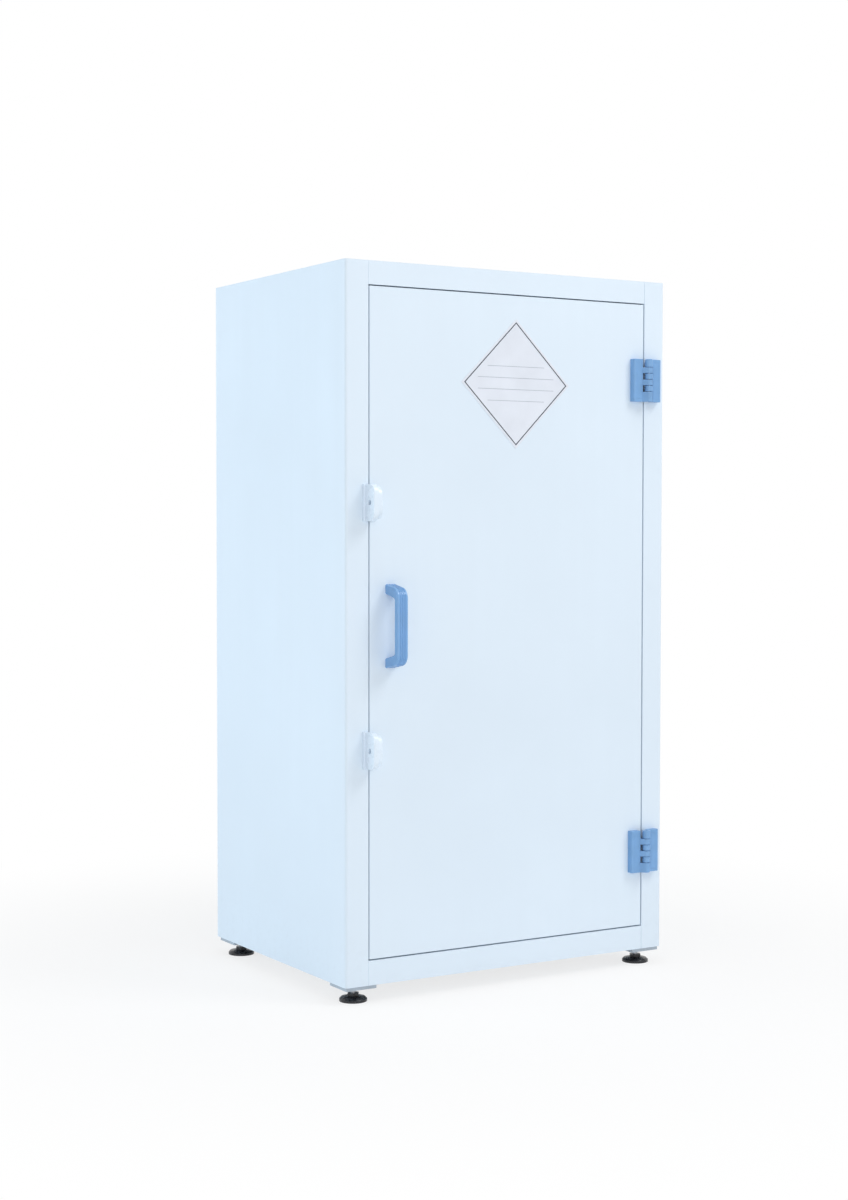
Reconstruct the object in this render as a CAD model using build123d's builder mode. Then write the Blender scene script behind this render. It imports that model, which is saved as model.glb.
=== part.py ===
from build123d import *
import math
import os

# Corrosion-proof reagent cabinet with one flush door, welded from white plastic sheet.
# Millimetres. +Z is up and the door faces -Y. The origin lies on the floor, under the middle of
# the cabinet's overall footprint, which reaches from the back panel to the front of the handle.

# ---- carcass ----
BODY_WIDTH = 600
BODY_DEPTH = 450
BODY_HEIGHT = 1100
SHEET = 8  # thickness of the carcass sheet
FOLD_RADIUS = 5  # outside radius of the folded front corners
STILE_WIDTH = 40
TOP_RAIL_HEIGHT = 36
BOTTOM_RAIL_HEIGHT = 38
SEAM_BREAK = 0.8  # broken edge on the ends of the rails, where they butt against the stiles
REVEAL_DEPTH = 36  # how far the sheet is turned in beside the door

# ---- door ----
DOOR_GAP = 2
DOOR_SKIN = 8
DOOR_CORE = 13
DOOR_LINER = 5
DOOR_EDGE_BREAK = 0.6
CORE_WIDTH = 50  # width of the strips between the skin and the liner
STOP_WIDTH = 12
STOP_THICKNESS = 8
SEAL_WIDTH = 8
SEAL_THICKNESS = 1.7
SEAL_INSET = 1  # from the free edge of the stop to the seal
SHUT_CLEARANCE = 0.3  # from the shut door's strikes to the catches

# ---- catches ----
CATCH_WIDTH = 16
CATCH_HEIGHT = 40
CATCH_DEPTH = 22
CATCH_GROOVE_WIDTH = 3
CATCH_GROOVE_DEPTH = 1
STRIKE_WIDTH = 14
STRIKE_HEIGHT = 34
STRIKE_THICKNESS = 1

# ---- handle ----
HANDLE_LENGTH = 128
HANDLE_WIDTH = 19
HANDLE_PROJECTION = 37
HANDLE_GRIP = 10  # thickness of the grip
HANDLE_LEG = 15  # height of a leg where it meets the door
HANDLE_OUTER_SLOPE = 7  # how far the outside of a leg leans towards the handle's middle
HANDLE_INNER_SLOPE = 6.5
HANDLE_OUTER_RADIUS = 17
HANDLE_INNER_RADIUS = 5
HANDLE_EDGE_RADIUS = 2.4
HANDLE_FROM_EDGE = 37  # middle of the handle from the door's free edge
HANDLE_DROP = 3  # middle of the handle below the door's middle
GROOVE_RADIUS = 0.85
GROOVE_PITCH = 3
GROOVE_COUNT = 4
HANDLE_BOLT_PITCH = 112
BOLT_RADIUS = 2.5
BOLT_CLEARANCE = 0.1
BOLT_HEAD_RADIUS = 4.8
BOLT_HEAD_HEIGHT = 2.6
BOLT_GRIP = 13  # thread length inside the handle's leg
CAP_WALL = 1
CAP_EDGE_RADIUS = 0.5
CAP_CLEARANCE = 0.1

# ---- padlock lugs ----
LUG_SPREAD = 187.5  # from the handle's middle to each pair of lugs
FRAME_LUG_HEIGHT = 56
FRAME_LUG_PROJECTION = 31
DOOR_LUG_HEIGHT = 49
DOOR_LUG_PROJECTION = 28
LUG_THICKNESS = 8
LUG_CORNER_RADIUS = 14
LUG_FLANGE_THICKNESS = 4
LUG_FLANGE_REACH = 3  # flange beside the ear
LUG_SPACE = 1  # between the two ears of a pair
LUG_EDGE_RADIUS = 1.2
PADLOCK_HOLE_RADIUS = 4.25
PADLOCK_HOLE_REACH = 17  # from the door's front to the hole's middle

# ---- hinges ----
HINGE_FROM_END = 124  # from the door's top or bottom edge to the middle of a hinge
HINGE_HEIGHT = 69
HINGE_HALF_WIDTH = 27.5
LEAF_THICKNESS = 11
LEAF_EDGE_RADIUS = 3
PIN_REACH = 13.5  # from the cabinet's front to the pin's axis
KNUCKLE_RADIUS = 6.2
KNUCKLE_SLOT = 10  # from the pin's axis to the leaf between its knuckles
KNUCKLE_ROOT = 1  # depth of a knuckle's web inside the leaf
KNUCKLE_HEIGHT = 9.9
TOP_KNUCKLE_HEIGHT = 13.2
KNUCKLE_COUNT = 6
KNUCKLE_PLAY = 0.7
KNUCKLE_EDGE = 0.5  # broken edge at the ends of a knuckle
PIN_RADIUS = 2
PIN_CLEARANCE = 0.05
PIN_RECESS = 1
PIN_EDGE = 0.5
COVER_HEIGHT = 60
COVER_WIDTH = 10
COVER_THICKNESS = 2
COVER_CLEARANCE = 0.15
COVER_MARGIN = 2  # from the slot's wall to the cover
HINGE_SCREW_PITCH = 44
HINGE_SCREW_RADIUS = 2
HINGE_SCREW_HEAD_RADIUS = 4
HINGE_SCREW_LENGTH = 16
SCREW_CLEARANCE = 0.05

# ---- blank label on the door ----
LABEL_FROM_EDGE = 265  # middle of the label from the door's free edge
LABEL_DROP = 138  # middle of the label below the door's top edge
LABEL_SIDE = 144
LABEL_THICKNESS = 0.6
LABEL_CORNER_RADIUS = 1.5

# ---- levelling feet ----
FOOT_RISE = 27.5  # from the floor to the underside of the body
FOOT_INSET = 30  # middle of a foot from the two nearest sides of the body
PAD_SIZE = 53
PAD_THICKNESS = 6
PAD_EDGE = 0.8
FOOT_RADIUS = 21.6
FOOT_RIM = 3.6
FOOT_SHOULDER_RADIUS = 19
FOOT_SHOULDER_HEIGHT = 6.2
FOOT_CROWN_RADIUS = 11
FOOT_CROWN_HEIGHT = 8
FOOT_HUB_ACROSS_FLATS = 17
FOOT_HUB_TOP = 12.5
STEM_RADIUS = 4
STEM_SOCKET = 5
STEM_PAST_NUT = 4
STEM_EDGE = 0.5
STEM_CLEARANCE = 0.05
STEM_ROOM = 0.4  # around the stem in the pad and the floor panel
STEM_POCKET = 7  # depth of the blind hole under the floor panel
NUT_ACROSS_FLATS = 13
NUT_HEIGHT = 5

# ---- inside ----
LOWER_SHELF_LEVEL = 370  # underside of the lower shelf above the underside of the body
UPPER_SHELF_LEVEL = 725  # the same for the upper shelf
SHELF_SIDE_GAP = 2
SHELF_SETBACK = 55  # fronts of the trays behind the cabinet's front
SHELF_BACK_GAP = 6
SHELF_BASE = 6
SHELF_WALL = 6
SHELF_HEIGHT = 30
SHELF_FRONT_HEIGHT = 20
SHELF_NOTCH_INSET = 18  # from a tray's side to the low part of its front wall
TRAY_OUTER_RADIUS = 6
TRAY_INNER_RADIUS = 3
LEDGE_WIDTH = 20
LEDGE_DROP = 25
LEDGE_SHEET = 5
SUMP_SIDE_GAP = 14
SUMP_HEIGHT = 48
SUMP_BASE = 5
SUMP_WALL = 5

# ---- places worked out from the sizes ----
FRONT = (HANDLE_PROJECTION - BODY_DEPTH) / 2  # Y of the cabinet's front face
BACK = FRONT + BODY_DEPTH
BASE = FOOT_RISE  # Z of the underside of the body
TOP = BASE + BODY_HEIGHT
FLOOR_TOP = BASE + SHEET
CEILING = TOP - SHEET
INNER_HALF_WIDTH = BODY_WIDTH / 2 - SHEET
OPENING_HALF_WIDTH = BODY_WIDTH / 2 - STILE_WIDTH
OPENING_BOTTOM = BASE + BOTTOM_RAIL_HEIGHT
OPENING_TOP = TOP - TOP_RAIL_HEIGHT
REVEAL_BACK = FRONT + REVEAL_DEPTH

DOOR_HALF_WIDTH = OPENING_HALF_WIDTH - DOOR_GAP
DOOR_BOTTOM = OPENING_BOTTOM + DOOR_GAP
DOOR_TOP = OPENING_TOP - DOOR_GAP
DOOR_MIDDLE = (DOOR_BOTTOM + DOOR_TOP) / 2
CORE_FRONT = FRONT + DOOR_SKIN
LINER_FRONT = CORE_FRONT + DOOR_CORE
DOOR_BACK = LINER_FRONT + DOOR_LINER
STOP_FRONT = REVEAL_BACK - STOP_THICKNESS
STOP_HALF_WIDTH = OPENING_HALF_WIDTH - STOP_WIDTH
CATCH_FRONT = DOOR_BACK + STRIKE_THICKNESS + SHUT_CLEARANCE
CATCH_X = -STOP_HALF_WIDTH + CATCH_WIDTH / 2

HANDLE_X = -DOOR_HALF_WIDTH + HANDLE_FROM_EDGE
HANDLE_Z = DOOR_MIDDLE - HANDLE_DROP
LUG_LEVELS = {"upper": HANDLE_Z + LUG_SPREAD, "lower": HANDLE_Z - LUG_SPREAD}
LUG_GAP_X = -OPENING_HALF_WIDTH + DOOR_GAP / 2
HINGE_LEVELS = {"upper": DOOR_TOP - HINGE_FROM_END, "lower": DOOR_BOTTOM + HINGE_FROM_END}
PIN_X = OPENING_HALF_WIDTH - DOOR_GAP / 2
PIN_Y = FRONT - PIN_REACH
LEAF_FRONT = FRONT - LEAF_THICKNESS
COVER_FROM_AXIS = KNUCKLE_SLOT + COVER_MARGIN + COVER_WIDTH / 2
LABEL_PLACE = (-DOOR_HALF_WIDTH + LABEL_FROM_EDGE, DOOR_TOP - LABEL_DROP)
NUT_BOTTOM = BASE - NUT_HEIGHT
STEM_BOTTOM = FOOT_HUB_TOP - STEM_SOCKET
STEM_TOP = BASE + STEM_PAST_NUT
FOOT_X = BODY_WIDTH / 2 - FOOT_INSET
FOOT_PLACES = {
    "front_left": (-FOOT_X, FRONT + FOOT_INSET),
    "front_right": (FOOT_X, FRONT + FOOT_INSET),
    "back_left": (-FOOT_X, BACK - FOOT_INSET),
    "back_right": (FOOT_X, BACK - FOOT_INSET),
}

os.makedirs("parts", exist_ok=True)


def save(part, name):
    """Labels a finished piece and writes it under its name."""
    part.label = name
    export_step(part, f"parts/{name}.step")


def block(x, y, z, mode=Mode.ADD):
    """A box in the part that is being built, from the two ends of its run along each axis."""
    with Locations(((x[0] + x[1]) / 2, (y[0] + y[1]) / 2, (z[0] + z[1]) / 2)):
        Box(abs(x[1] - x[0]), abs(y[1] - y[0]), abs(z[1] - z[0]), mode=mode)


# ================================ carcass ================================


def side_shell(side):
    """Side wall, front stile and door reveal, folded from one sheet. side is -1 for left, 1 for right."""
    wall = side * BODY_WIDTH / 2
    wall_inside = side * INNER_HALF_WIDTH
    reveal = side * OPENING_HALF_WIDTH
    reveal_inside = side * (OPENING_HALF_WIDTH + SHEET)
    with BuildPart() as shell:
        with BuildSketch(Plane.XY.offset(BASE)):
            with BuildLine():
                Polyline(
                    (wall, BACK),
                    (wall, FRONT),
                    (reveal, FRONT),
                    (reveal, FRONT + SHEET),
                    (wall_inside, FRONT + SHEET),
                    (wall_inside, BACK),
                    close=True,
                )
            make_face()
        extrude(amount=BODY_HEIGHT)
        front_corners = shell.edges().filter_by(Axis.Z).group_by(Axis.Y)[0].sort_by(Axis.X)
        fillet(front_corners[-1 if side > 0 else 0], FOLD_RADIUS)
        block((reveal, reveal_inside), (FRONT + SHEET, REVEAL_BACK), (FLOOR_TOP, CEILING))
    return shell.part


def rail(low, high, lip):
    """A rail between the stiles, with a lip turned in beside the door from the height lip."""
    across = (-OPENING_HALF_WIDTH, OPENING_HALF_WIDTH)
    with BuildPart() as bar:
        block(across, (FRONT, FRONT + SHEET), (low, high))
        ends = bar.faces().sort_by(Axis.Y)[0].edges().filter_by(Axis.Z)
        chamfer(ends, SEAM_BREAK)
        block(across, (FRONT + SHEET, REVEAL_BACK), (lip, lip + SHEET))
    return bar.part


def top_panel():
    """Top of the cabinet, between the side walls."""
    with BuildPart() as panel:
        block((-INNER_HALF_WIDTH, INNER_HALF_WIDTH), (FRONT + SHEET, BACK), (CEILING, TOP))
    return panel.part


def floor_panel():
    """Floor of the cabinet, with a blind hole over each foot's stem."""
    with BuildPart() as panel:
        block((-INNER_HALF_WIDTH, INNER_HALF_WIDTH), (FRONT + SHEET, BACK), (BASE, FLOOR_TOP))
        with Locations([(x, y, BASE + STEM_POCKET / 2) for x, y in FOOT_PLACES.values()]):
            Cylinder(STEM_RADIUS + STEM_ROOM, STEM_POCKET, mode=Mode.SUBTRACT)
    return panel.part


def back_panel():
    """Back of the cabinet, between the floor, the top and the side walls."""
    with BuildPart() as panel:
        block((-INNER_HALF_WIDTH, INNER_HALF_WIDTH), (BACK - SHEET, BACK), (FLOOR_TOP, CEILING))
    return panel.part


def upright_stop(side):
    """Strip beside the opening, behind the shut door's edge."""
    with BuildPart() as strip:
        block(
            (side * STOP_HALF_WIDTH, side * OPENING_HALF_WIDTH),
            (STOP_FRONT, REVEAL_BACK),
            (OPENING_BOTTOM, OPENING_TOP),
        )
    return strip.part


def level_stop(low):
    """Strip above or below the opening, behind the shut door's edge."""
    with BuildPart() as strip:
        block((-STOP_HALF_WIDTH, STOP_HALF_WIDTH), (STOP_FRONT, REVEAL_BACK), (low, low + STOP_WIDTH))
    return strip.part


def door_seal():
    """Soft flat seal in one ring on the front of the stops."""
    half_width = STOP_HALF_WIDTH + SEAL_INSET
    low = OPENING_BOTTOM + STOP_WIDTH - SEAL_INSET
    high = OPENING_TOP - STOP_WIDTH + SEAL_INSET
    with BuildPart() as seal:
        with BuildSketch(Plane.XZ.offset(-STOP_FRONT)):
            with Locations((0, (low + high) / 2)):
                Rectangle(2 * (half_width + SEAL_WIDTH), high - low + 2 * SEAL_WIDTH)
                Rectangle(2 * half_width, high - low, mode=Mode.SUBTRACT)
        extrude(amount=SEAL_THICKNESS)
    return seal.part


def catches():
    """Two magnetic catches on the left stop, each with a groove between its two poles."""
    with BuildPart() as housings:
        for level in LUG_LEVELS.values():
            block(
                (CATCH_X - CATCH_WIDTH / 2, CATCH_X + CATCH_WIDTH / 2),
                (CATCH_FRONT, CATCH_FRONT + CATCH_DEPTH),
                (level - CATCH_HEIGHT / 2, level + CATCH_HEIGHT / 2),
            )
            block(
                (CATCH_X - CATCH_GROOVE_WIDTH / 2, CATCH_X + CATCH_GROOVE_WIDTH / 2),
                (CATCH_FRONT, CATCH_FRONT + CATCH_GROOVE_DEPTH),
                (level - STRIKE_HEIGHT / 2, level + STRIKE_HEIGHT / 2),
                Mode.SUBTRACT,
            )
    return housings.part


def shelf_ledges(side):
    """Angle strips on a side wall, one under each shelf."""
    wall = side * INNER_HALF_WIDTH
    run = (FRONT + SHELF_SETBACK, BACK - SHEET - SHELF_BACK_GAP)
    with BuildPart() as ledges:
        for level in (LOWER_SHELF_LEVEL, UPPER_SHELF_LEVEL):
            top = BASE + level
            block((wall, wall - side * LEDGE_WIDTH), run, (top - LEDGE_SHEET, top))
            block((wall, wall - side * LEDGE_SHEET), run, (top - LEDGE_DROP, top - LEDGE_SHEET))
    return ledges.part


def tray(side_gap, bottom, base, wall, height, front_height):
    """Open tray that holds what is spilt in it. Its front wall may be lower than the others."""
    half_width = INNER_HALF_WIDTH - side_gap
    front = FRONT + SHELF_SETBACK
    back = BACK - SHEET - SHELF_BACK_GAP
    middle = (0, (front + back) / 2)
    with BuildPart() as pan:
        with BuildSketch(Plane.XY.offset(bottom)):
            with Locations(middle):
                RectangleRounded(2 * half_width, back - front, TRAY_OUTER_RADIUS)
        extrude(amount=height)
        with BuildSketch(Plane.XY.offset(bottom + base)):
            with Locations(middle):
                RectangleRounded(2 * (half_width - wall), back - front - 2 * wall, TRAY_INNER_RADIUS)
        extrude(amount=height - base, mode=Mode.SUBTRACT)
        if front_height < height:
            notch = half_width - SHELF_NOTCH_INSET
            block(
                (-notch, notch),
                (front, front + wall),
                (bottom + front_height, bottom + height),
                Mode.SUBTRACT,
            )
    return pan.part


# ================================ door ================================


def bolt_places(y):
    """The two handle bolts' axes at a given Y, pointing out of the door."""
    lifts = (-HANDLE_BOLT_PITCH / 2, HANDLE_BOLT_PITCH / 2)
    return [Location((HANDLE_X, y, HANDLE_Z + lift), (90, 0, 0)) for lift in lifts]


def bolt_holes(y_from, y_to):
    """Cuts the two bolts' holes through the part that is being built."""
    with Locations(bolt_places((y_from + y_to) / 2)):
        Cylinder(BOLT_RADIUS + BOLT_CLEARANCE, y_to - y_from, mode=Mode.SUBTRACT)


def screw_places(side, y, level):
    """A hinge leaf's two screw axes at a given Y, pointing out of the sheet."""
    x = PIN_X + side * COVER_FROM_AXIS
    lifts = (-HINGE_SCREW_PITCH / 2, HINGE_SCREW_PITCH / 2)
    return [Location((x, y, level + lift), (90, 0, 0)) for lift in lifts]


def screw_holes(side):
    """Cuts the hinge screws' blind holes into the front of the part that is being built."""
    depth = HINGE_SCREW_LENGTH - (LEAF_THICKNESS - COVER_THICKNESS)
    for level in HINGE_LEVELS.values():
        with Locations(screw_places(side, FRONT + depth / 2, level)):
            Cylinder(HINGE_SCREW_RADIUS + SCREW_CLEARANCE, depth, mode=Mode.SUBTRACT)


def right_shell_with_holes():
    """Right side shell with the hinge screws' holes."""
    with BuildPart() as shell:
        add(side_shell(1))
        screw_holes(1)
    return shell.part


def door_skin():
    """Front sheet of the door, flush with the frame."""
    with BuildPart() as skin:
        block((-DOOR_HALF_WIDTH, DOOR_HALF_WIDTH), (FRONT, CORE_FRONT), (DOOR_BOTTOM, DOOR_TOP))
        chamfer(skin.faces().sort_by(Axis.Y)[0].edges(), DOOR_EDGE_BREAK)
        bolt_holes(FRONT, CORE_FRONT)
        screw_holes(-1)
    return skin.part


def door_core_stiles():
    """Two upright strips between the door's skin and its liner."""
    with BuildPart() as strips:
        for side in (-1, 1):
            edge = side * DOOR_HALF_WIDTH
            block((edge, edge - side * CORE_WIDTH), (CORE_FRONT, LINER_FRONT), (DOOR_BOTTOM, DOOR_TOP))
        bolt_holes(CORE_FRONT, LINER_FRONT)
    return strips.part


def door_core_rails():
    """Three level strips between the door's skin and its liner."""
    half_width = DOOR_HALF_WIDTH - CORE_WIDTH
    lows = (DOOR_BOTTOM, DOOR_MIDDLE - CORE_WIDTH / 2, DOOR_TOP - CORE_WIDTH)
    with BuildPart() as strips:
        for low in lows:
            block((-half_width, half_width), (CORE_FRONT, LINER_FRONT), (low, low + CORE_WIDTH))
    return strips.part


def door_liner():
    """Inner sheet of the door."""
    with BuildPart() as liner:
        block((-DOOR_HALF_WIDTH, DOOR_HALF_WIDTH), (LINER_FRONT, DOOR_BACK), (DOOR_BOTTOM, DOOR_TOP))
        chamfer(liner.faces().sort_by(Axis.Y)[-1].edges(), DOOR_EDGE_BREAK)
        bolt_holes(LINER_FRONT, DOOR_BACK)
    return liner.part


def catch_strikes():
    """Two thin plates on the liner that the catches hold."""
    with BuildPart() as strikes:
        for level in LUG_LEVELS.values():
            block(
                (CATCH_X - STRIKE_WIDTH / 2, CATCH_X + STRIKE_WIDTH / 2),
                (DOOR_BACK, DOOR_BACK + STRIKE_THICKNESS),
                (level - STRIKE_HEIGHT / 2, level + STRIKE_HEIGHT / 2),
            )
    return strikes.part


def handle():
    """Bow handle with leaning legs and fine grooves along the outside of its grip."""
    half = HANDLE_LENGTH / 2
    outer = half - HANDLE_OUTER_SLOPE
    leg = half - HANDLE_LEG
    inner = leg - HANDLE_INNER_SLOPE
    reach = HANDLE_PROJECTION
    grip_back = reach - HANDLE_GRIP
    # In the side view the first coordinate runs out of the door and the second runs up.
    side_view = Plane(origin=(HANDLE_X, FRONT, HANDLE_Z), x_dir=(0, -1, 0), z_dir=(-1, 0, 0))
    outer_corners = [(0, half), (reach, outer), (reach, -outer), (0, -half)]
    inner_corners = [(0, -leg), (grip_back, -inner), (grip_back, inner), (0, leg)]
    with BuildPart() as bow:
        with BuildSketch(side_view):
            with BuildLine():
                FilletPolyline(*outer_corners, radius=HANDLE_OUTER_RADIUS)
                FilletPolyline(*inner_corners, radius=HANDLE_INNER_RADIUS)
                Line(outer_corners[-1], inner_corners[0])
                Line(inner_corners[-1], outer_corners[0])
            make_face()
        extrude(amount=HANDLE_WIDTH / 2, both=True)
        sides = bow.faces().sort_by(Axis.X)
        seats = bow.faces().sort_by(Axis.Y)[-2:].edges()
        long_edges = [edge for edge in sides[0].edges() + sides[-1].edges() if edge not in seats]
        fillet(long_edges, HANDLE_EDGE_RADIUS)
        for count in range(GROOVE_COUNT):
            across = (count - (GROOVE_COUNT - 1) / 2) * GROOVE_PITCH
            with BuildLine(side_view.offset(across)) as groove:
                FilletPolyline(*outer_corners, radius=HANDLE_OUTER_RADIUS)
            with BuildSketch(Plane(origin=groove.line @ 0, z_dir=groove.line % 0)):
                Circle(GROOVE_RADIUS)
            sweep(path=groove.line, mode=Mode.SUBTRACT)
        with Locations(bolt_places(FRONT - BOLT_GRIP / 2)):
            Cylinder(BOLT_RADIUS + SCREW_CLEARANCE, BOLT_GRIP, mode=Mode.SUBTRACT)
    return bow.part


def handle_bolts():
    """Two bolts that hold the handle from inside the door."""
    shank = DOOR_BACK - FRONT + BOLT_GRIP
    with BuildPart() as bolts:
        with Locations(bolt_places(DOOR_BACK - shank / 2)):
            Cylinder(BOLT_RADIUS, shank)
        with Locations(bolt_places(DOOR_BACK + BOLT_HEAD_HEIGHT / 2)):
            Cylinder(BOLT_HEAD_RADIUS, BOLT_HEAD_HEIGHT)
    return bolts.part


def bolt_caps():
    """Two snap caps over the bolt heads on the door's inside."""
    inside = BOLT_HEAD_RADIUS + CAP_CLEARANCE
    depth = BOLT_HEAD_HEIGHT + CAP_CLEARANCE
    with BuildPart() as caps:
        with Locations(bolt_places(DOOR_BACK + (depth + CAP_WALL) / 2)):
            Cylinder(inside + CAP_WALL, depth + CAP_WALL)
        fillet(caps.edges().group_by(Axis.Y)[-1], CAP_EDGE_RADIUS)
        with Locations(bolt_places(DOOR_BACK + depth / 2)):
            Cylinder(inside, depth, mode=Mode.SUBTRACT)
    return caps.part


def label_plate():
    """Blank square label that stands on one corner."""
    with BuildPart() as plate:
        with BuildSketch(Plane.XZ.offset(-FRONT)):
            with Locations(Location(LABEL_PLACE, 45)):
                RectangleRounded(LABEL_SIDE, LABEL_SIDE, LABEL_CORNER_RADIUS)
        extrude(amount=LABEL_THICKNESS)
    return plate.part


def lug(side, level, height, projection):
    """Padlock lug: an ear with a hole on a narrow flange. side is -1 on the frame, 1 on the door."""
    near = LUG_GAP_X + side * LUG_SPACE / 2
    far = near + side * LUG_THICKNESS
    half = height / 2
    ear_plane = Plane(origin=(near, FRONT, level), x_dir=(0, -1, 0), z_dir=(-1, 0, 0))
    corners = [(0, half), (projection, half), (projection, -half), (0, -half)]
    with BuildPart() as ear:
        with BuildSketch(ear_plane):
            with BuildLine():
                FilletPolyline(*corners, radius=LUG_CORNER_RADIUS)
                Line(corners[-1], corners[0])
            make_face()
        extrude(amount=-side * LUG_THICKNESS)
        outer_face = ear.faces().sort_by(Axis.X)[0 if side < 0 else -1]
        fillet(outer_face.edges().sort_by(Axis.Y)[:-1], LUG_EDGE_RADIUS)
        block(
            (near, far + side * LUG_FLANGE_REACH),
            (FRONT - LUG_FLANGE_THICKNESS, FRONT),
            (level - half, level + half),
        )
        with Locations(Location(((near + far) / 2, FRONT - PADLOCK_HOLE_REACH, level), (0, 90, 0))):
            Cylinder(PADLOCK_HOLE_RADIUS, LUG_THICKNESS, mode=Mode.SUBTRACT)
    return ear.part


# ================================ hinges ================================


def knuckle_spans(side):
    """Heights of a leaf's knuckles from the hinge's middle. side is 1 on the frame, -1 on the door."""
    top = HINGE_HEIGHT / 2
    marks = [top]
    marks += [top - TOP_KNUCKLE_HEIGHT - n * KNUCKLE_HEIGHT for n in range(KNUCKLE_COUNT - 1)]
    marks.append(-top)
    spans = []
    for n in range(0 if side > 0 else 1, KNUCKLE_COUNT, 2):
        high = marks[n] - (KNUCKLE_PLAY / 2 if n > 0 else 0)
        low = marks[n + 1] + (KNUCKLE_PLAY / 2 if n < KNUCKLE_COUNT - 1 else 0)
        spans.append((low, high))
    return spans


def hinge_leaf(side, level, bore):
    """Moulded hinge leaf with its knuckles. side is 1 on the frame, -1 on the door."""
    slot_x = PIN_X + side * KNUCKLE_SLOT
    outer_x = PIN_X + side * HINGE_HALF_WIDTH
    cover_x = PIN_X + side * COVER_FROM_AXIS
    half = HINGE_HEIGHT / 2
    with BuildPart() as leaf:
        block((slot_x, outer_x), (LEAF_FRONT, FRONT), (level - half, level + half))
        outer_face = leaf.faces().sort_by(Axis.X)[-1 if side > 0 else 0]
        fillet(outer_face.edges().sort_by(Axis.Y)[0], LEAF_EDGE_RADIUS)
        for low, high in knuckle_spans(side):
            with BuildPart(mode=Mode.PRIVATE) as knuckle:
                with BuildSketch(Plane.XY.offset(level + low)):
                    with Locations((PIN_X, PIN_Y)):
                        Circle(KNUCKLE_RADIUS)
                    with Locations((slot_x + side * KNUCKLE_ROOT / 2, (LEAF_FRONT + FRONT) / 2)):
                        Rectangle(KNUCKLE_ROOT, LEAF_THICKNESS)
                    make_hull()
                extrude(amount=high - low)
                chamfer(knuckle.faces().filter_by(Axis.Z).edges(), KNUCKLE_EDGE)
            add(knuckle.part)
        with Locations((PIN_X, PIN_Y, level)):
            Cylinder(bore, HINGE_HEIGHT, mode=Mode.SUBTRACT)
        block(
            (cover_x - COVER_WIDTH / 2, cover_x + COVER_WIDTH / 2),
            (LEAF_FRONT, LEAF_FRONT + COVER_THICKNESS),
            (level - COVER_HEIGHT / 2, level + COVER_HEIGHT / 2),
            Mode.SUBTRACT,
        )
        with Locations(screw_places(side, LEAF_FRONT + COVER_THICKNESS, level)):
            CounterSinkHole(
                HINGE_SCREW_RADIUS + SCREW_CLEARANCE,
                HINGE_SCREW_HEAD_RADIUS + SCREW_CLEARANCE,
                depth=LEAF_THICKNESS,
                counter_sink_angle=90,
            )
    return leaf.part


def hinge_cover(side, level):
    """Snap cover that hides a leaf's screws."""
    cover_x = PIN_X + side * COVER_FROM_AXIS
    half_width = COVER_WIDTH / 2 - COVER_CLEARANCE
    half_height = COVER_HEIGHT / 2 - COVER_CLEARANCE
    with BuildPart() as cover:
        block(
            (cover_x - half_width, cover_x + half_width),
            (LEAF_FRONT, LEAF_FRONT + COVER_THICKNESS),
            (level - half_height, level + half_height),
        )
    return cover.part


def hinge_screws(side, level):
    """Two countersunk screws of one leaf."""
    head = HINGE_SCREW_HEAD_RADIUS
    shank = HINGE_SCREW_RADIUS
    length = HINGE_SCREW_LENGTH
    with BuildPart() as screws:
        for place in screw_places(side, LEAF_FRONT + COVER_THICKNESS, level):
            start = place.position
            with BuildSketch(Plane(origin=start, x_dir=(1, 0, 0), z_dir=(0, 0, 1))):
                with BuildLine():
                    Polyline(
                        (0, 0), (head, 0), (shank, head - shank), (shank, length), (0, length), close=True
                    )
                make_face()
            revolve(axis=Axis(start, (0, 1, 0)))
    return screws.part


def hinge_pin(level):
    """Pin of one hinge, set back a little from both ends of the barrel."""
    with BuildPart() as pin:
        with Locations((PIN_X, PIN_Y, level)):
            Cylinder(PIN_RADIUS, HINGE_HEIGHT - 2 * PIN_RECESS)
        chamfer(pin.edges().filter_by(GeomType.CIRCLE), PIN_EDGE)
    return pin.part


# ================================ feet ================================


def foot_pad(x, y):
    """Square pad under a corner of the body, with a pocket for the foot's nut."""
    with BuildPart() as pad:
        with Locations((x, y, BASE - PAD_THICKNESS / 2)):
            Box(PAD_SIZE, PAD_SIZE, PAD_THICKNESS)
        chamfer(pad.edges().filter_by(Axis.Z), PAD_EDGE)
        with Locations((x, y, BASE - PAD_THICKNESS / 2)):
            Cylinder(STEM_RADIUS + STEM_ROOM, PAD_THICKNESS, mode=Mode.SUBTRACT)
        with BuildSketch(Plane.XY.offset(NUT_BOTTOM)):
            with Locations((x, y)):
                RegularPolygon(NUT_ACROSS_FLATS / 2, 6, major_radius=False)
        extrude(amount=NUT_HEIGHT, mode=Mode.SUBTRACT)
    return pad.part


def foot_nuts():
    """Four hexagon nuts, one let into each pad."""
    with BuildPart() as nuts:
        with BuildSketch(Plane.XY.offset(NUT_BOTTOM)):
            with Locations(*FOOT_PLACES.values()):
                RegularPolygon(NUT_ACROSS_FLATS / 2, 6, major_radius=False)
                Circle(STEM_RADIUS + STEM_CLEARANCE, mode=Mode.SUBTRACT)
        extrude(amount=NUT_HEIGHT)
    return nuts.part


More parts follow.
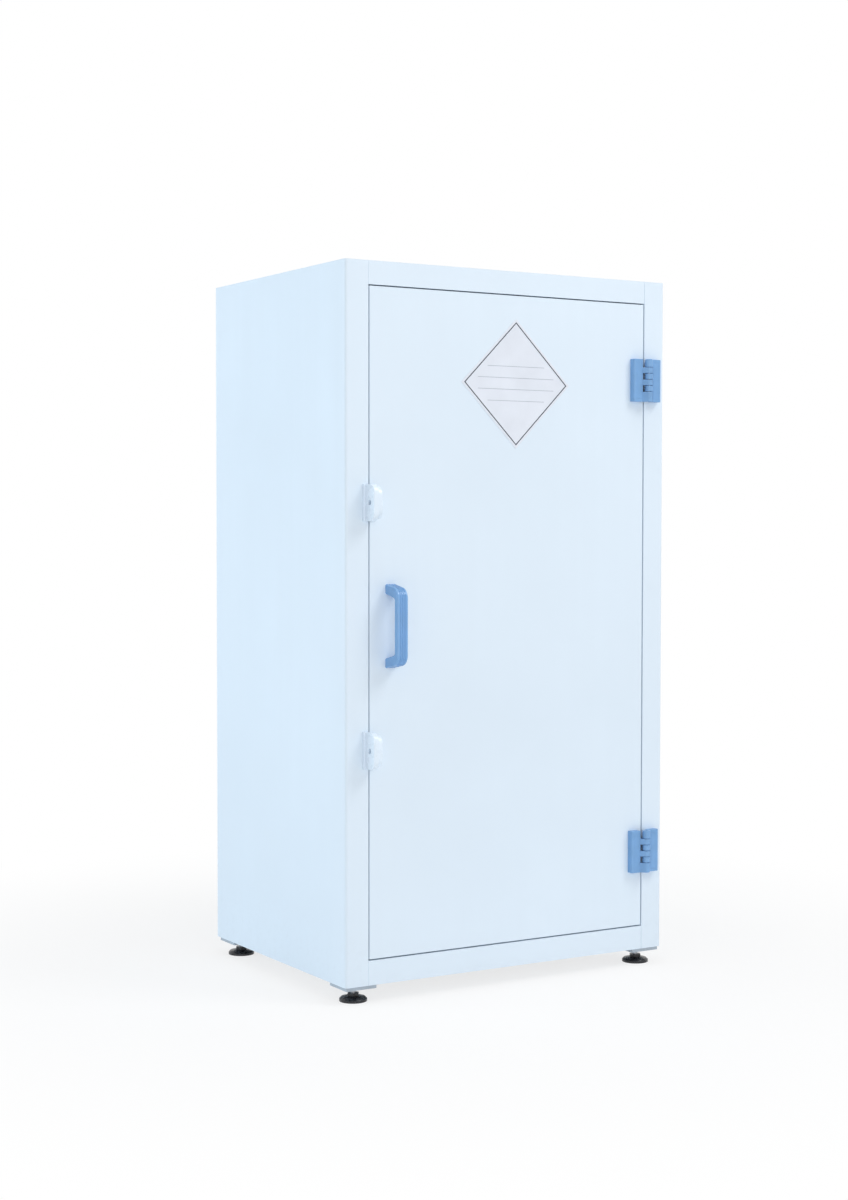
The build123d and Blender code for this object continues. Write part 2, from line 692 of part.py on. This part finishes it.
def foot_base(x, y):
    """Round foot with a hexagon hub that holds the stem."""
    with BuildPart() as foot:
        with BuildSketch(Plane(origin=(x, y, 0), x_dir=(1, 0, 0), z_dir=(0, -1, 0))):
            with BuildLine():
                Polyline(
                    (0, 0),
                    (FOOT_RADIUS, 0),
                    (FOOT_RADIUS, FOOT_RIM),
                    (FOOT_SHOULDER_RADIUS, FOOT_SHOULDER_HEIGHT),
                    (FOOT_CROWN_RADIUS, FOOT_CROWN_HEIGHT),
                    (0, FOOT_CROWN_HEIGHT),
                    close=True,
                )
            make_face()
        revolve(axis=Axis((x, y, 0), (0, 0, 1)))
        with BuildSketch(Plane.XY.offset(FOOT_CROWN_HEIGHT)):
            with Locations((x, y)):
                RegularPolygon(FOOT_HUB_ACROSS_FLATS / 2, 6, major_radius=False)
        extrude(amount=FOOT_HUB_TOP - FOOT_CROWN_HEIGHT)
        with Locations((x, y, FOOT_HUB_TOP - STEM_SOCKET / 2)):
            Cylinder(STEM_RADIUS + STEM_CLEARANCE, STEM_SOCKET, mode=Mode.SUBTRACT)
    return foot.part


def foot_stem(x, y):
    """Threaded stem, drawn as a plain rod of its outer diameter."""
    with BuildPart() as stem:
        with Locations((x, y, (STEM_BOTTOM + STEM_TOP) / 2)):
            Cylinder(STEM_RADIUS, STEM_TOP - STEM_BOTTOM)
        chamfer(stem.edges().filter_by(GeomType.CIRCLE).sort_by(Axis.Z)[-1], STEM_EDGE)
    return stem.part


# ================================ the pieces ================================

save(side_shell(-1), "side_shell_left")
save(right_shell_with_holes(), "side_shell_right")
save(top_panel(), "top_panel")
save(floor_panel(), "floor_panel")
save(back_panel(), "back_panel")
save(rail(OPENING_TOP, TOP, OPENING_TOP), "top_rail")
save(rail(BASE, OPENING_BOTTOM, OPENING_BOTTOM - SHEET), "bottom_rail")
save(upright_stop(-1), "door_stop_left")
save(upright_stop(1), "door_stop_right")
save(level_stop(OPENING_TOP - STOP_WIDTH), "door_stop_top")
save(level_stop(OPENING_BOTTOM), "door_stop_bottom")
save(door_seal(), "door_seal")
save(catches(), "magnetic_catches")
save(shelf_ledges(-1), "shelf_ledges_left")
save(shelf_ledges(1), "shelf_ledges_right")
for shelf_name, shelf_level in (("lower", LOWER_SHELF_LEVEL), ("upper", UPPER_SHELF_LEVEL)):
    shelf_bottom = BASE + shelf_level
    shelf = tray(SHELF_SIDE_GAP, shelf_bottom, SHELF_BASE, SHELF_WALL, SHELF_HEIGHT, SHELF_FRONT_HEIGHT)
    save(shelf, f"shelf_tray_{shelf_name}")
save(tray(SUMP_SIDE_GAP, FLOOR_TOP, SUMP_BASE, SUMP_WALL, SUMP_HEIGHT, SUMP_HEIGHT), "sump_tray")

save(door_skin(), "door_skin")
save(door_core_stiles(), "door_core_stiles")
save(door_core_rails(), "door_core_rails")
save(door_liner(), "door_liner")
save(catch_strikes(), "catch_strikes")
save(handle(), "handle")
save(handle_bolts(), "handle_bolts")
save(bolt_caps(), "handle_bolt_caps")
save(label_plate(), "label_plate")

for place_name, lug_level in LUG_LEVELS.items():
    frame_lug = lug(-1, lug_level, FRAME_LUG_HEIGHT, FRAME_LUG_PROJECTION)
    door_lug = lug(1, lug_level, DOOR_LUG_HEIGHT, DOOR_LUG_PROJECTION)
    save(frame_lug, f"frame_lug_{place_name}")
    save(door_lug, f"door_lug_{place_name}")

for place_name, hinge_level in HINGE_LEVELS.items():
    save(hinge_leaf(1, hinge_level, PIN_RADIUS), f"hinge_{place_name}_frame_leaf")
    save(hinge_leaf(-1, hinge_level, PIN_RADIUS + PIN_CLEARANCE), f"hinge_{place_name}_door_leaf")
    save(hinge_pin(hinge_level), f"hinge_{place_name}_pin")
    save(hinge_cover(1, hinge_level), f"hinge_{place_name}_frame_cover")
    save(hinge_cover(-1, hinge_level), f"hinge_{place_name}_door_cover")
    save(hinge_screws(1, hinge_level), f"hinge_{place_name}_frame_screws")
    save(hinge_screws(-1, hinge_level), f"hinge_{place_name}_door_screws")

save(foot_nuts(), "foot_nuts")
for corner, (foot_x, foot_y) in FOOT_PLACES.items():
    save(foot_pad(foot_x, foot_y), f"foot_pad_{corner}")
    save(foot_base(foot_x, foot_y), f"foot_base_{corner}")
    save(foot_stem(foot_x, foot_y), f"foot_stem_{corner}")
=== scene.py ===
import math

import bmesh
import bpy
from mathutils import Matrix, Vector


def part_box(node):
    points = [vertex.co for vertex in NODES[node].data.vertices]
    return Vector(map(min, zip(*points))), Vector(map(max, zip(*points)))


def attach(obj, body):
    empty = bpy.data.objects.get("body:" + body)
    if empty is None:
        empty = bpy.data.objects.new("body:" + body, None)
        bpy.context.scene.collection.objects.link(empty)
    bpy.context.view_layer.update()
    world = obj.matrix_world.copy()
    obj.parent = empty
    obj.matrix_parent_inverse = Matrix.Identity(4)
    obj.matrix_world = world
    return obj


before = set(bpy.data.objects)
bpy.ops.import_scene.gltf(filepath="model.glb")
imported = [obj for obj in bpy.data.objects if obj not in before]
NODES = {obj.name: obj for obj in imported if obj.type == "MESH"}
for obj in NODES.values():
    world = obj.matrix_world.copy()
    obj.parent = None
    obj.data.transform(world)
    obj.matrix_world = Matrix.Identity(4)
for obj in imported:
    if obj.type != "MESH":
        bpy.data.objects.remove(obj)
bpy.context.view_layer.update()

scene = bpy.context.scene

# ---- sizes of the pieces made here, in metres ----
LABEL_LIFT = 0.00012  # how far the printed fields stand off the label's plate
LABEL_BORDER = 0.0032  # white border outside the keyline
LABEL_KEYLINE = 0.0016
LABEL_RULE = 0.0007  # thickness of a write-on line
LABEL_RULES = (-0.027, -0.009, 0.009, 0.027)  # their heights from the label's middle
LABEL_RULE_MARGIN = 0.014  # from the end of a line to the keyline
BEAD_RADIUS = 0.0028
BEAD_PITCH = 0.0019
BEAD_RIPPLE = 0.0003
BEAD_POINTS = 5  # points on the round of a bead
BEAD_WAIST = 0.72  # share of the radius that is left halfway round
SEAM_HALF_WIDTH = 0.0019  # the scraped welds outside
SEAM_HEIGHT = 0.0004
SEAM_RIPPLE = 0.00015
SEAM_PROFILE = ((-1, -0.25), (-0.55, 0.8), (0.55, 0.8), (1, -0.25))  # shares of half width and height

# ---- colours, as sRGB from 0 to 255 ----
SHEET_WHITE = (224, 238, 250)
DOOR_WHITE = (224, 238, 250)
TRAY_WHITE = (226, 238, 247)
LUG_WHITE = (228, 241, 253)
HINGE_BLUE = (122, 169, 218)
HANDLE_BLUE = (121, 169, 219)
FOOT_BLACK = (27, 29, 34)
PAD_GREY = (178, 190, 201)
SEAL_PALE = (205, 218, 230)
CATCH_WHITE = (232, 236, 240)
LABEL_WHITE = (226, 232, 242)
LABEL_INK = (58, 64, 76)
LABEL_FAINT = (168, 176, 188)
STEEL_GREY = (168, 172, 178)
STEEL_DARK = (148, 152, 158)
STEEL_PALE = (182, 186, 191)
SCUFF_GREY = (196, 206, 214)
DUST_GREY = (108, 111.6, 117)


def linear(colour):
    """An sRGB colour from 0 to 255 as a linear one."""
    out = []
    for c in colour:
        c /= 255
        out.append(c / 12.92 if c <= 0.04045 else ((c + 0.055) / 1.055) ** 2.4)
    return out


class Shader:
    """A node material on a Principled shader, with short calls for what is used here."""

    def __init__(self, name, colour, roughness, **sockets):
        self.material = bpy.data.materials.new(name)
        self.material.use_nodes = True
        self.tree = self.material.node_tree
        self.tree.nodes.clear()
        self.bsdf = self.tree.nodes.new("ShaderNodeBsdfPrincipled")
        output = self.tree.nodes.new("ShaderNodeOutputMaterial")
        self.join(self.bsdf.outputs["BSDF"], output.inputs["Surface"])
        self.bsdf.inputs["Base Color"].default_value = (*linear(colour), 1)
        self.bsdf.inputs["Roughness"].default_value = roughness
        for key, value in sockets.items():
            self.bsdf.inputs[key.replace("_", " ")].default_value = value
        self.material.diffuse_color = (*linear(colour), 1)
        self.place = self.tree.nodes.new("ShaderNodeTexCoord").outputs["Object"]

    def join(self, a, b):
        self.tree.links.new(a, b)

    def stretched(self, scale):
        """Coordinates that stretch the texture along an axis where the scale is small."""
        node = self.tree.nodes.new("ShaderNodeMapping")
        node.inputs["Scale"].default_value = scale
        self.join(self.place, node.inputs["Vector"])
        return node.outputs["Vector"]

    def noise(self, scale, detail=3, at=None):
        node = self.tree.nodes.new("ShaderNodeTexNoise")
        node.inputs["Scale"].default_value = scale
        node.inputs["Detail"].default_value = detail
        self.join(at or self.place, node.inputs["Vector"])
        return node.outputs["Fac"]

    def ramp(self, value, low, high, to_low=0.0, to_high=1.0):
        node = self.tree.nodes.new("ShaderNodeMapRange")
        for i, number in enumerate((low, high, to_low, to_high), 1):
            node.inputs[i].default_value = number
        self.join(value, node.inputs[0])
        return node.outputs[0]

    def maths(self, operation, a, b):
        node = self.tree.nodes.new("ShaderNodeMath")
        node.operation = operation
        for socket, value in zip(node.inputs, (a, b)):
            if isinstance(value, (int, float)):
                socket.default_value = value
            else:
                self.join(value, socket)
        return node.outputs[0]

    def mix(self, share, a, b):
        """Colour a where share is 0, b where it is 1. Each is an sRGB colour or a socket."""
        node = self.tree.nodes.new("ShaderNodeMix")
        node.data_type = "RGBA"
        self.join(share, node.inputs["Factor"])
        for socket, value in ((node.inputs[6], a), (node.inputs[7], b)):
            if isinstance(value, tuple):
                socket.default_value = (*linear(value), 1)
            else:
                self.join(value, socket)
        return node.outputs[2]

    def axis(self, which):
        node = self.tree.nodes.new("ShaderNodeSeparateXYZ")
        self.join(self.place, node.inputs[0])
        return node.outputs[which]

    def colour(self, socket):
        self.join(socket, self.bsdf.inputs["Base Color"])

    def roughness(self, socket):
        self.join(socket, self.bsdf.inputs["Roughness"])

    def bump(self, *layers):
        """Each layer is (height socket, how high it stands in metres)."""
        normal = None
        for height, distance in layers:
            node = self.tree.nodes.new("ShaderNodeBump")
            node.inputs["Strength"].default_value = 1
            node.inputs["Distance"].default_value = distance
            self.join(height, node.inputs["Height"])
            if normal is not None:
                self.join(normal, node.inputs["Normal"])
            normal = node.outputs["Normal"]
        self.join(normal, self.bsdf.inputs["Normal"])


def shade(colour, share):
    """The colour made darker, or lighter where share is above 1."""
    return tuple(max(0, min(255, c * share)) for c in colour)


def sheet_material(name, colour, streaks, scuff_top=None):
    """Extruded plastic sheet: faint streaks along it, a soft waviness, and scuffs below scuff_top."""
    s = Shader(name, colour, 0.34, IOR=1.49)
    cloud = s.noise(3.1, 4)
    tint = s.mix(s.ramp(cloud, 0.3, 0.7), shade(colour, 0.988), shade(colour, 1.008))
    lines = s.noise(38, 2, s.stretched(streaks))
    tint = s.mix(s.ramp(lines, 0.35, 0.75, 0, 0.4), tint, shade(colour, 0.99))
    if scuff_top:
        low = s.ramp(s.axis("Z"), 0.03, scuff_top, 1, 0)
        marks = s.ramp(s.noise(90, 6), 0.5, 0.75)
        scuffed = s.maths("MULTIPLY", low, marks)
        tint = s.mix(s.maths("MULTIPLY", scuffed, 0.12), tint, SCUFF_GREY)
    s.colour(tint)
    s.roughness(s.ramp(s.noise(9, 5), 0.25, 0.75, 0.29, 0.41))
    s.bump((s.noise(14, 2), 0.00035), (lines, 0.00003), (s.noise(620, 3), 0.000025))
    return s.material


def moulded_material(name, colour, roughness, grain, mottle=0.03, **sockets):
    """Injection-moulded plastic: a fine spark-eroded grain and slight flow marks."""
    s = Shader(name, colour, roughness, **sockets)
    flow = s.noise(42, 4)
    tint = s.mix(s.ramp(flow, 0.3, 0.7), shade(colour, 1 - mottle), shade(colour, 1 + mottle / 2))
    specks = s.ramp(s.noise(900, 2), 0.55, 0.8, 0, 0.35)
    s.colour(s.mix(specks, tint, shade(colour, 0.93)))
    s.roughness(s.ramp(s.noise(60, 4), 0.25, 0.75, roughness - 0.05, roughness + 0.07))
    s.bump((flow, 0.00003), (s.noise(1500, 2), grain))
    return s.material


def handle_material():
    """Moulded plastic, rubbed smoother and a little lighter where hands hold the grip."""
    s = Shader("handle_plastic", HANDLE_BLUE, 0.4, IOR=1.5)
    low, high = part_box("handle")
    middle, half = (low.z + high.z) / 2, (high.z - low.z) / 2
    off = s.maths("ABSOLUTE", s.maths("SUBTRACT", s.axis("Z"), middle), 0)
    rubbed = s.ramp(off, half * 0.45, half * 0.95, 1, 0)
    flow = s.noise(38, 4)
    tint = s.mix(s.ramp(flow, 0.3, 0.7), shade(HANDLE_BLUE, 0.975), shade(HANDLE_BLUE, 1.015))
    s.colour(s.mix(s.maths("MULTIPLY", rubbed, 0.25), tint, shade(HANDLE_BLUE, 1.03)))
    worn = s.maths("MULTIPLY", rubbed, -0.06)
    s.roughness(s.maths("ADD", worn, s.ramp(s.noise(70, 4), 0.25, 0.75, 0.19, 0.27)))
    s.bump((flow, 0.00005), (s.noise(1300, 2), 0.000005))
    return s.material


def steel_material():
    """Bright turned steel with fine marks round the work."""
    s = Shader("turned_steel", STEEL_GREY, 0.32, Metallic=1.0)
    lines = s.noise(900, 2, s.stretched((0.08, 0.08, 1)))
    s.colour(s.mix(s.ramp(lines, 0.3, 0.7), STEEL_DARK, STEEL_PALE))
    s.roughness(s.ramp(s.noise(240, 3), 0.3, 0.7, 0.26, 0.42))
    s.bump((lines, 0.00001))
    return s.material


def dark_material(name, colour, roughness):
    """Dark moulded plastic, with dust in its grain."""
    s = Shader(name, colour, roughness, IOR=1.5)
    dust = s.ramp(s.noise(130, 5), 0.5, 0.78, 0, 0.16)
    s.colour(s.mix(dust, colour, DUST_GREY))
    s.roughness(s.ramp(s.noise(90, 4), 0.25, 0.75, roughness - 0.07, roughness + 0.1))
    s.bump((s.noise(1100, 3), 0.00003))
    return s.material


def label_material(name, colour):
    """Printed self-adhesive film."""
    s = Shader(name, colour, 0.42, IOR=1.46)
    s.colour(s.mix(s.ramp(s.noise(26, 4), 0.3, 0.7), shade(colour, 0.985), shade(colour, 1.01)))
    s.roughness(s.ramp(s.noise(180, 3), 0.3, 0.7, 0.37, 0.48))
    s.bump((s.noise(30, 2), 0.00005), (s.noise(1500, 2), 0.000008))
    return s.material


carcass_material = sheet_material("carcass_sheet_plastic", SHEET_WHITE, (1, 1, 0.03), 0.16)
door_material = sheet_material("door_sheet_plastic", DOOR_WHITE, (1, 1, 0.03))
level_material = sheet_material("level_sheet_plastic", SHEET_WHITE, (0.03, 1, 1))
tray_material = sheet_material("tray_plastic", TRAY_WHITE, (0.05, 1, 1))
bead_material = moulded_material("weld_plastic", SHEET_WHITE, 0.3, 0.00002)
lug_material = moulded_material("lug_plastic", LUG_WHITE, 0.26, 0.000006, 0.01, IOR=1.5)
hinge_material = moulded_material("hinge_plastic", HINGE_BLUE, 0.42, 0.00003, 0.045, IOR=1.5)
catch_material = moulded_material("catch_plastic", CATCH_WHITE, 0.42, 0.00002, 0.015)
pad_material = moulded_material("pad_plastic", PAD_GREY, 0.45, 0.00003, 0.03)
foot_material = dark_material("foot_plastic", FOOT_BLACK, 0.27)
seal_material = moulded_material("seal_foam", SEAL_PALE, 0.6, 0.00004)
label_white = label_material("label_film", LABEL_WHITE)
label_ink = label_material("label_ink", LABEL_INK)
label_faint = label_material("label_rules", LABEL_FAINT)
steel = steel_material()
grip = handle_material()

LEVEL_SHEETS = ("top_panel", "floor_panel", "top_rail", "bottom_rail", "door_stop_top", "door_stop_bottom")
BY_NODE = {
    "door_seal": seal_material,
    "handle": grip,
    "handle_bolt_caps": catch_material,
    "label_plate": label_white,
    "magnetic_catches": catch_material,
    "sump_tray": tray_material,
}
for start, material in (
    ("side_shell", carcass_material), ("back_panel", carcass_material), ("door_stop", carcass_material),
    ("shelf_ledges", carcass_material), ("shelf_tray", tray_material),
    ("door_skin", door_material), ("door_core", door_material), ("door_liner", door_material),
    ("frame_lug", lug_material), ("door_lug", lug_material),
    ("foot_pad", pad_material), ("foot_base", foot_material), ("foot_stem", steel), ("foot_nuts", steel),
    ("catch_strikes", steel), ("handle_bolts", steel),
):
    for name in NODES:
        if name.startswith(start):
            BY_NODE.setdefault(name, material)
for name in NODES:
    if name.startswith("hinge"):
        BY_NODE[name] = steel if name.endswith(("_pin", "_screws")) else hinge_material
BY_NODE.update({name: level_material for name in LEVEL_SHEETS})

for name, node in NODES.items():
    if not node.material_slots:
        node.data.materials.append(BY_NODE[name])
    for socket in node.material_slots:
        socket.material = BY_NODE[name]


# ---- pieces made here ----
def piece(name, mesh, material, body, smooth=False):
    """A mesh as an object that rides on a body and belongs to a material slot."""
    made = bpy.data.objects.new(name, mesh)
    scene.collection.objects.link(made)
    made.data.materials.append(material)
    for face in made.data.polygons:
        face.use_smooth = smooth
    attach(made, body)


def finished(name, built):
    """The built faces as a mesh, with their fronts outwards."""
    bmesh.ops.recalc_face_normals(built, faces=built.faces)
    mesh = bpy.data.meshes.new(name)
    built.to_mesh(mesh)
    built.free()
    return mesh


def plate_mesh(name, rings, back, front):
    """A flat plate in the XZ plane. The first ring is its outline, and the others are holes in it."""
    built = bmesh.new()
    edges = []
    for ring in rings:
        corners = [built.verts.new((x, back, z)) for x, z in ring]
        edges += [built.edges.new((a, b)) for a, b in zip(corners, corners[1:] + corners[:1])]
    bmesh.ops.triangle_fill(built, edges=edges, use_beauty=True)
    grown = bmesh.ops.extrude_face_region(built, geom=list(built.faces))
    moved = [v for v in grown["geom"] if isinstance(v, bmesh.types.BMVert)]
    bmesh.ops.translate(built, verts=moved, vec=(0, front - back, 0))
    return finished(name, built)


# the label: a blank plate with a keyline and four write-on lines
label_low, label_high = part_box("label_plate")
label_x, label_z = (label_low.x + label_high.x) / 2, (label_low.z + label_high.z) / 2
label_face = label_low.y
label_reach = (label_high.x - label_low.x) / 2


def diamond(inset):
    reach = label_reach - inset * math.sqrt(2)
    return [(label_x, label_z - reach), (label_x + reach, label_z),
            (label_x, label_z + reach), (label_x - reach, label_z)]


def rectangle(x, z, half_length, half_height):
    return [(x - half_length, z - half_height), (x + half_length, z - half_height),
            (x + half_length, z + half_height), (x - half_length, z + half_height)]


inner = label_reach - (LABEL_BORDER + LABEL_KEYLINE) * math.sqrt(2)
printed = label_face - LABEL_LIFT
label_back = label_face + LABEL_LIFT
piece("label_keyline",
      plate_mesh("label_keyline", [diamond(LABEL_BORDER), diamond(LABEL_BORDER + LABEL_KEYLINE)],
                 label_back, printed), label_ink, "door")
for number, height in enumerate(LABEL_RULES, 1):
    half_length = inner - abs(height) - LABEL_RULE_MARGIN
    piece(f"label_line_{number}",
          plate_mesh(f"label_line_{number}",
                     [rectangle(label_x, label_z + height, half_length, LABEL_RULE / 2)],
                     label_back, printed), label_faint, "door")


# the welds: beads along the inner corners, scraped seams outside
def skin(built, rows):
    """Faces between the rows of points along a run, and one face over each end."""
    count = len(rows[0])
    for a, b in zip(rows, rows[1:]):
        for k in range(count):
            m = (k + 1) % count
            built.faces.new((a[k], a[m], b[m], b[k]))
    built.faces.new(rows[0])
    built.faces.new(rows[-1][::-1])


def bead_mesh(name, runs):
    """Rippled quarter-round welds. Each run is (start, end, two unit vectors out of the corner)."""
    built = bmesh.new()
    for start, end, out_a, out_b in runs:
        start, end, out_a, out_b = (Vector(v) for v in (start, end, out_a, out_b))
        length = (end - start).length
        steps = max(8, round(length / BEAD_PITCH * 2))
        rows = []
        for i in range(steps + 1):
            at = start.lerp(end, i / steps)
            radius = BEAD_RADIUS + BEAD_RIPPLE * (1 if i % 2 else -1)
            row = [built.verts.new(at)]
            for k in range(BEAD_POINTS):
                turn = math.pi / 2 * k / (BEAD_POINTS - 1)
                reach = radius * (BEAD_WAIST + (1 - BEAD_WAIST) * abs(math.cos(2 * turn)))
                outward = out_a * math.cos(turn) + out_b * math.sin(turn)
                row.append(built.verts.new(at + outward * reach))
            rows.append(row)
        skin(built, rows)
    return finished(name, built)


def seam_mesh(name, runs):
    """Flat scraped welds over the butt seams outside. Each run is (start, end, across, outward)."""
    built = bmesh.new()
    for start, end, across, outward in runs:
        start, end, across, outward = (Vector(v) for v in (start, end, across, outward))
        steps = round((end - start).length / BEAD_PITCH * 2)
        rows = []
        for i in range(steps + 1):
            at = start.lerp(end, i / steps)
            swell = SEAM_RIPPLE * (1 if i % 2 else -1)
            width = SEAM_HALF_WIDTH + swell
            height = SEAM_HEIGHT + swell / 3
            rows.append([built.verts.new(at + across * width * a + outward * height * h)
                         for a, h in SEAM_PROFILE])
        skin(built, rows)
    return finished(name, built)


back_low, back_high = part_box("back_panel")
top_low, top_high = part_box("top_panel")
floor_low, floor_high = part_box("floor_panel")
low_z, high_z = floor_high.z, top_low.z
inside_back, inside_front = back_low.y, top_low.y
wall = back_high.x  # inner face of a side wall
inner_runs = []
for side in (-1, 1):
    x, inward = side * wall, (-side, 0, 0)
    inner_runs += [
        ((x, inside_back, low_z), (x, inside_back, high_z), inward, (0, -1, 0)),
        ((x, inside_front, low_z), (x, inside_back, low_z), inward, (0, 0, 1)),
        ((x, inside_front, high_z), (x, inside_back, high_z), inward, (0, 0, -1)),
    ]
for z, turn in ((low_z, 1), (high_z, -1)):
    inner_runs.append(((-wall, inside_back, z), (wall, inside_back, z), (0, -1, 0), (0, 0, turn)))
piece("weld_beads_inside", bead_mesh("weld_beads_inside", inner_runs),
      bead_material, "carcass", True)

outer_runs = []
behind, above, under = back_high.y, top_high.z, floor_low.z
for side in (-1, 1):
    x = side * wall
    outer_runs += [
        ((x, behind, under), (x, behind, above), (1, 0, 0), (0, 1, 0)),
        ((x, inside_front, above), (x, behind, above), (1, 0, 0), (0, 0, 1)),
    ]
for z in (low_z, high_z):
    outer_runs.append(((-wall, behind, z), (wall, behind, z), (0, 0, 1), (0, 1, 0)))
piece("weld_seams_outside", seam_mesh("weld_seams_outside", outer_runs),
      bead_material, "carcass", True)


# ---- camera, worked out from the photograph's vanishing points ----
AZIMUTH, ELEVATION, ROLL = (math.radians(a) for a in (-31.178, 2.238, 0.0596))
CAMERA_PLACE = (-1.7514, -2.8336, 0.7341)
CAMERA_LENS = 59.93
CAMERA_SENSOR = 36
right = Vector((math.cos(AZIMUTH), math.sin(AZIMUTH), 0))
back = Vector((math.sin(AZIMUTH) * math.cos(ELEVATION), -math.cos(AZIMUTH) * math.cos(ELEVATION),
               math.sin(ELEVATION)))
up = back.cross(right)
rolled_right = right * math.cos(ROLL) + up * math.sin(ROLL)
rolled_up = up * math.cos(ROLL) - right * math.sin(ROLL)
camera_data = bpy.data.cameras.new("camera")
camera_data.lens = CAMERA_LENS
camera_data.sensor_width = CAMERA_SENSOR
camera = bpy.data.objects.new("camera", camera_data)
scene.collection.objects.link(camera)
camera.matrix_world = Matrix.Translation(CAMERA_PLACE) @ Matrix(
    (rolled_right, rolled_up, back)).transposed().to_4x4()
scene.camera = camera


# ---- floor, world and lamps ----
def seen_white(tree):
    """1 for a ray that shows the background itself: from the camera, off gloss or through glass."""
    ray = tree.nodes.new("ShaderNodeLightPath")
    share = ray.outputs["Is Camera Ray"]
    for kind in ("Is Glossy Ray", "Is Transmission Ray"):
        either = tree.nodes.new("ShaderNodeMath")
        either.operation = "MAXIMUM"
        tree.links.new(share, either.inputs[0])
        tree.links.new(ray.outputs[kind], either.inputs[1])
        share = either.outputs[0]
    return share


FLOOR_REACH = 9
FLOOR_SOLID = 0.45  # how far the plain floor reaches before it fades into the white around it
FLOOR_FADE = 1.3
FLOOR_PALE = 0.75  # share of white in the floor by the object
FLOOR_COLOUR = (0.93, 0.935, 0.94, 1)
AMBIENT_COLOUR = (0.955, 0.977, 1, 1)
AMBIENT_STRENGTH = 0.58
WHITE = (1, 1, 1, 1)


def floor_material():
    """A pale floor that keeps the object's shadow and fades into the white background."""
    material = bpy.data.materials.new("studio_floor")
    material.use_nodes = True
    tree = material.node_tree
    tree.nodes.clear()
    new = tree.nodes.new
    place = new("ShaderNodeTexCoord")
    flat = new("ShaderNodeVectorMath")
    flat.operation = "LENGTH"
    tree.links.new(place.outputs["Object"], flat.inputs[0])
    fade = new("ShaderNodeMapRange")
    fade.interpolation_type = "SMOOTHSTEP"
    fade.inputs[1].default_value = FLOOR_SOLID
    fade.inputs[2].default_value = FLOOR_FADE
    fade.inputs[3].default_value = FLOOR_PALE
    tree.links.new(flat.outputs["Value"], fade.inputs[0])
    seen = new("ShaderNodeMath")
    seen.operation = "MULTIPLY"
    tree.links.new(fade.outputs[0], seen.inputs[0])
    tree.links.new(seen_white(tree), seen.inputs[1])
    plain = new("ShaderNodeBsdfDiffuse")
    plain.inputs["Color"].default_value = FLOOR_COLOUR
    white = new("ShaderNodeEmission")
    white.inputs["Color"].default_value = WHITE
    white.inputs["Strength"].default_value = 1
    mixed = new("ShaderNodeMixShader")
    tree.links.new(seen.outputs[0], mixed.inputs[0])
    tree.links.new(plain.outputs[0], mixed.inputs[1])
    tree.links.new(white.outputs[0], mixed.inputs[2])
    output = new("ShaderNodeOutputMaterial")
    tree.links.new(mixed.outputs[0], output.inputs["Surface"])
    return material


floor_mesh = bpy.data.meshes.new("floor")
floor_mesh.from_pydata([(-FLOOR_REACH, -FLOOR_REACH, 0), (FLOOR_REACH, -FLOOR_REACH, 0),
                        (FLOOR_REACH, FLOOR_REACH, 0), (-FLOOR_REACH, FLOOR_REACH, 0)], [], [(0, 1, 2, 3)])
floor = bpy.data.objects.new("floor", floor_mesh)
scene.collection.objects.link(floor)
floor.data.materials.append(floor_material())

world = bpy.data.worlds.new("studio")
scene.world = world
world.use_nodes = True
tree = world.node_tree
tree.nodes.clear()
ambient = tree.nodes.new("ShaderNodeBackground")
ambient.inputs["Color"].default_value = AMBIENT_COLOUR
ambient.inputs["Strength"].default_value = AMBIENT_STRENGTH
white = tree.nodes.new("ShaderNodeBackground")
white.inputs["Color"].default_value = WHITE
white.inputs["Strength"].default_value = 1
mixed = tree.nodes.new("ShaderNodeMixShader")
tree.links.new(seen_white(tree), mixed.inputs[0])
tree.links.new(ambient.outputs[0], mixed.inputs[1])
tree.links.new(white.outputs[0], mixed.inputs[2])
output = tree.nodes.new("ShaderNodeOutputWorld")
tree.links.new(mixed.outputs[0], output.inputs["Surface"])


def lamp(name, place, aim, width, power, colour=(1, 1, 1)):
    """A square area lamp of that width and power in watts, turned towards aim."""
    data = bpy.data.lights.new(name, "AREA")
    data.shape = "SQUARE"
    data.color = colour
    data.size = width
    data.energy = power
    made = bpy.data.objects.new(name, data)
    scene.collection.objects.link(made)
    made.location = place
    made.visible_camera = False
    made.rotation_euler = (Vector(aim) - Vector(place)).to_track_quat("-Z", "Y").to_euler()


lamp("key", (1.7, -2.2, 3.5), (0, -0.2, 0.6), 1.5, 46)
lamp("front", (-1.7, -5.2, 1.2), (0, 0, 0.5), 2.6, 50, (1, 0.905, 0.84))
lamp("side", (-3.4, 1.9, 0.8), (-0.3, 0.1, 0.35), 2.2, 51, (0.73, 0.89, 1))
lamp("overhead", (-0.3, -0.4, 3.6), (-0.2, -0.2, 0.7), 0.8, 11)

scene.view_settings.view_transform = "Standard"
